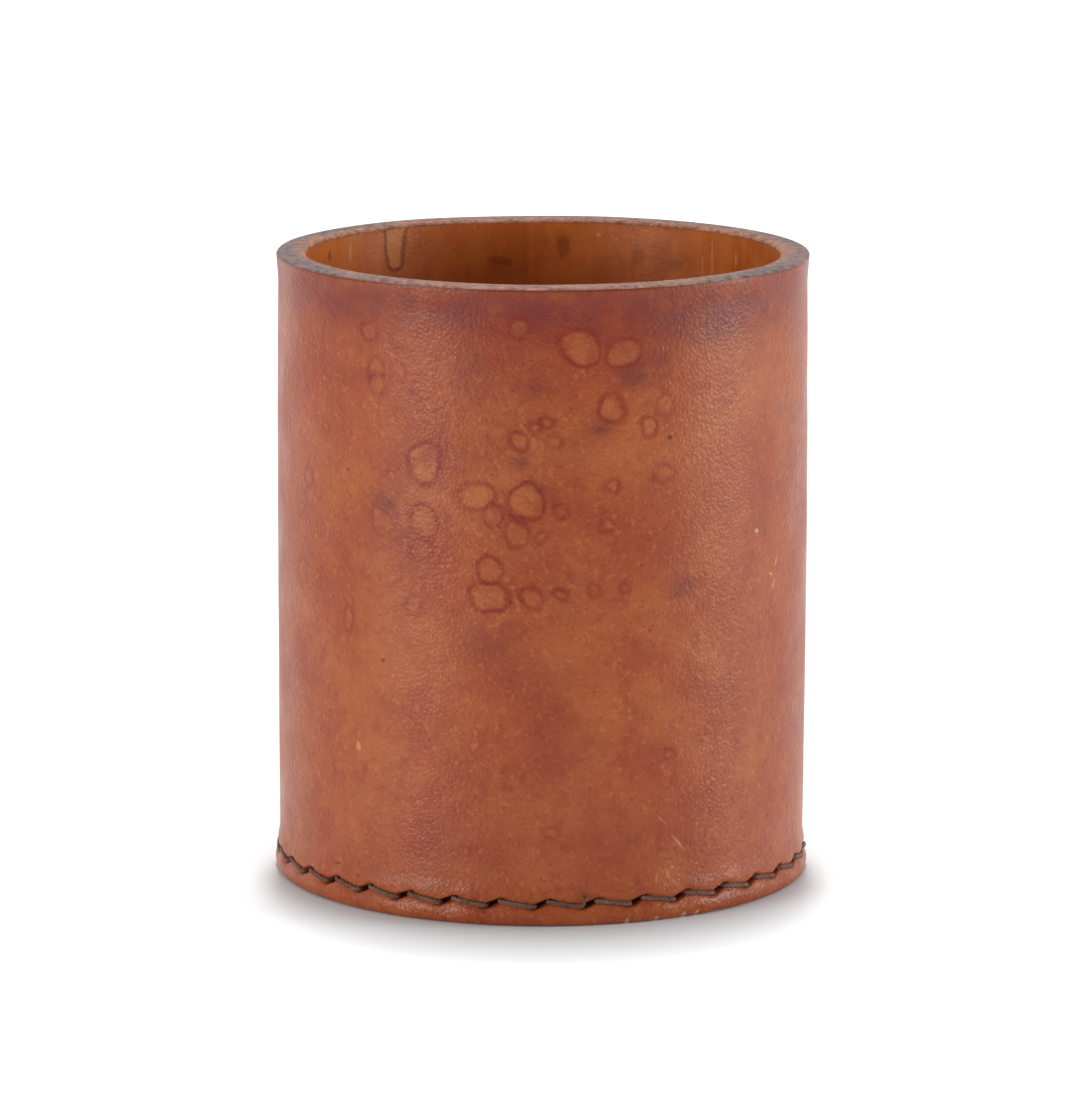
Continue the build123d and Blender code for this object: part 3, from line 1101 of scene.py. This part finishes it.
def build_softbox(name, turn, rise, away, width, tall, power):
    """A soft lamp aimed at the cup's middle. Turn is from the camera's side to the right, in degrees."""
    data = bpy.data.lights.new(name, "AREA")
    data.shape = "RECTANGLE"
    data.size = width
    data.size_y = tall
    data.energy = power
    lamp = bpy.data.objects.new(name, data)
    turn, rise = math.radians(turn), math.radians(rise)
    lamp.location = (
        away * math.cos(rise) * math.sin(turn),
        -away * math.cos(rise) * math.cos(turn),
        away * math.sin(rise) + cup_height * MM / 2,
    )
    lamp.rotation_euler = (math.pi / 2 - rise, 0, turn)
    bpy.context.collection.objects.link(lamp)


def build_world(front, back):
    """A room with a dim front, behind the camera, and a white back, which is the background."""
    world = bpy.data.worlds.new("studio")
    bpy.context.scene.world = world
    world.use_nodes = True
    nodes = Nodes(world.node_tree)
    room = nodes.tree.nodes["Background"]
    where = nodes.new("TexCoord").outputs["Generated"]
    behind = nodes.step(nodes.split(where)[1], -0.3, 0.5)
    light = nodes.maths("MULTIPLY_ADD", behind, back - front, front)
    direct, mirrored = nodes.ray_kinds()
    shown = nodes.maths("MAXIMUM", direct, nodes.times(mirrored, behind))
    nodes.give(WHITE, room.inputs["Color"])
    nodes.give(nodes.maths("MAXIMUM", light, shown), room.inputs["Strength"])


def build_floor(colour, glow, far_glow):
    """A pale floor that keeps the cup's shadow, and turns into a white backdrop away from the cup."""
    mesh = bpy.data.meshes.new("floor")
    half = floor_size / 2
    corners = [(-half, -half, 0), (half, -half, 0), (half, half, 0), (-half, half, 0)]
    mesh.from_pydata(corners, [], [(0, 1, 2, 3)])
    floor = bpy.data.objects.new("floor", mesh)
    bpy.context.collection.objects.link(floor)
    shader = Shader("floor")
    cloud = shader.noise(300, 2.0)
    tone = shader.mix(cloud, (*colour, 1), (*(part + 0.01 for part in colour), 1))
    away = shader.vector("LENGTH", shader.where, (0, 0, 0), "Value")
    brightness = shader.step(away, glow_start, glow_end, glow, far_glow)
    strength = shader.times(shader.maths("MAXIMUM", *shader.ray_kinds()), brightness)
    material = shader.finish(
        tone,
        roughness=0.9,
        normal=shader.bump(cloud, 0.01),
        Specular_IOR_Level=0.0,
        Emission_Color=WHITE,
        Emission_Strength=strength,
    )
    mesh.materials.append(material)


def main():
    build_wall(wall_leather())
    build_base(base_leather())
    build_thread(waxed_thread())
    build_camera()
    build_world(front=0.27, back=0.42)
    build_floor(colour=(0.81, 0.85, 0.87), glow=0.06, far_glow=0.6)
    build_softbox("softbox_left", turn=-54, rise=8, away=3.0, width=1.0, tall=0.85, power=44)
    build_softbox("softbox_right", turn=84, rise=8, away=3.0, width=1.0, tall=0.85, power=49)
    build_softbox("softbox_top", turn=180, rise=83.5, away=2.5, width=0.14, tall=0.6, power=50)
    bpy.context.scene.view_settings.view_transform = "Standard"


main()
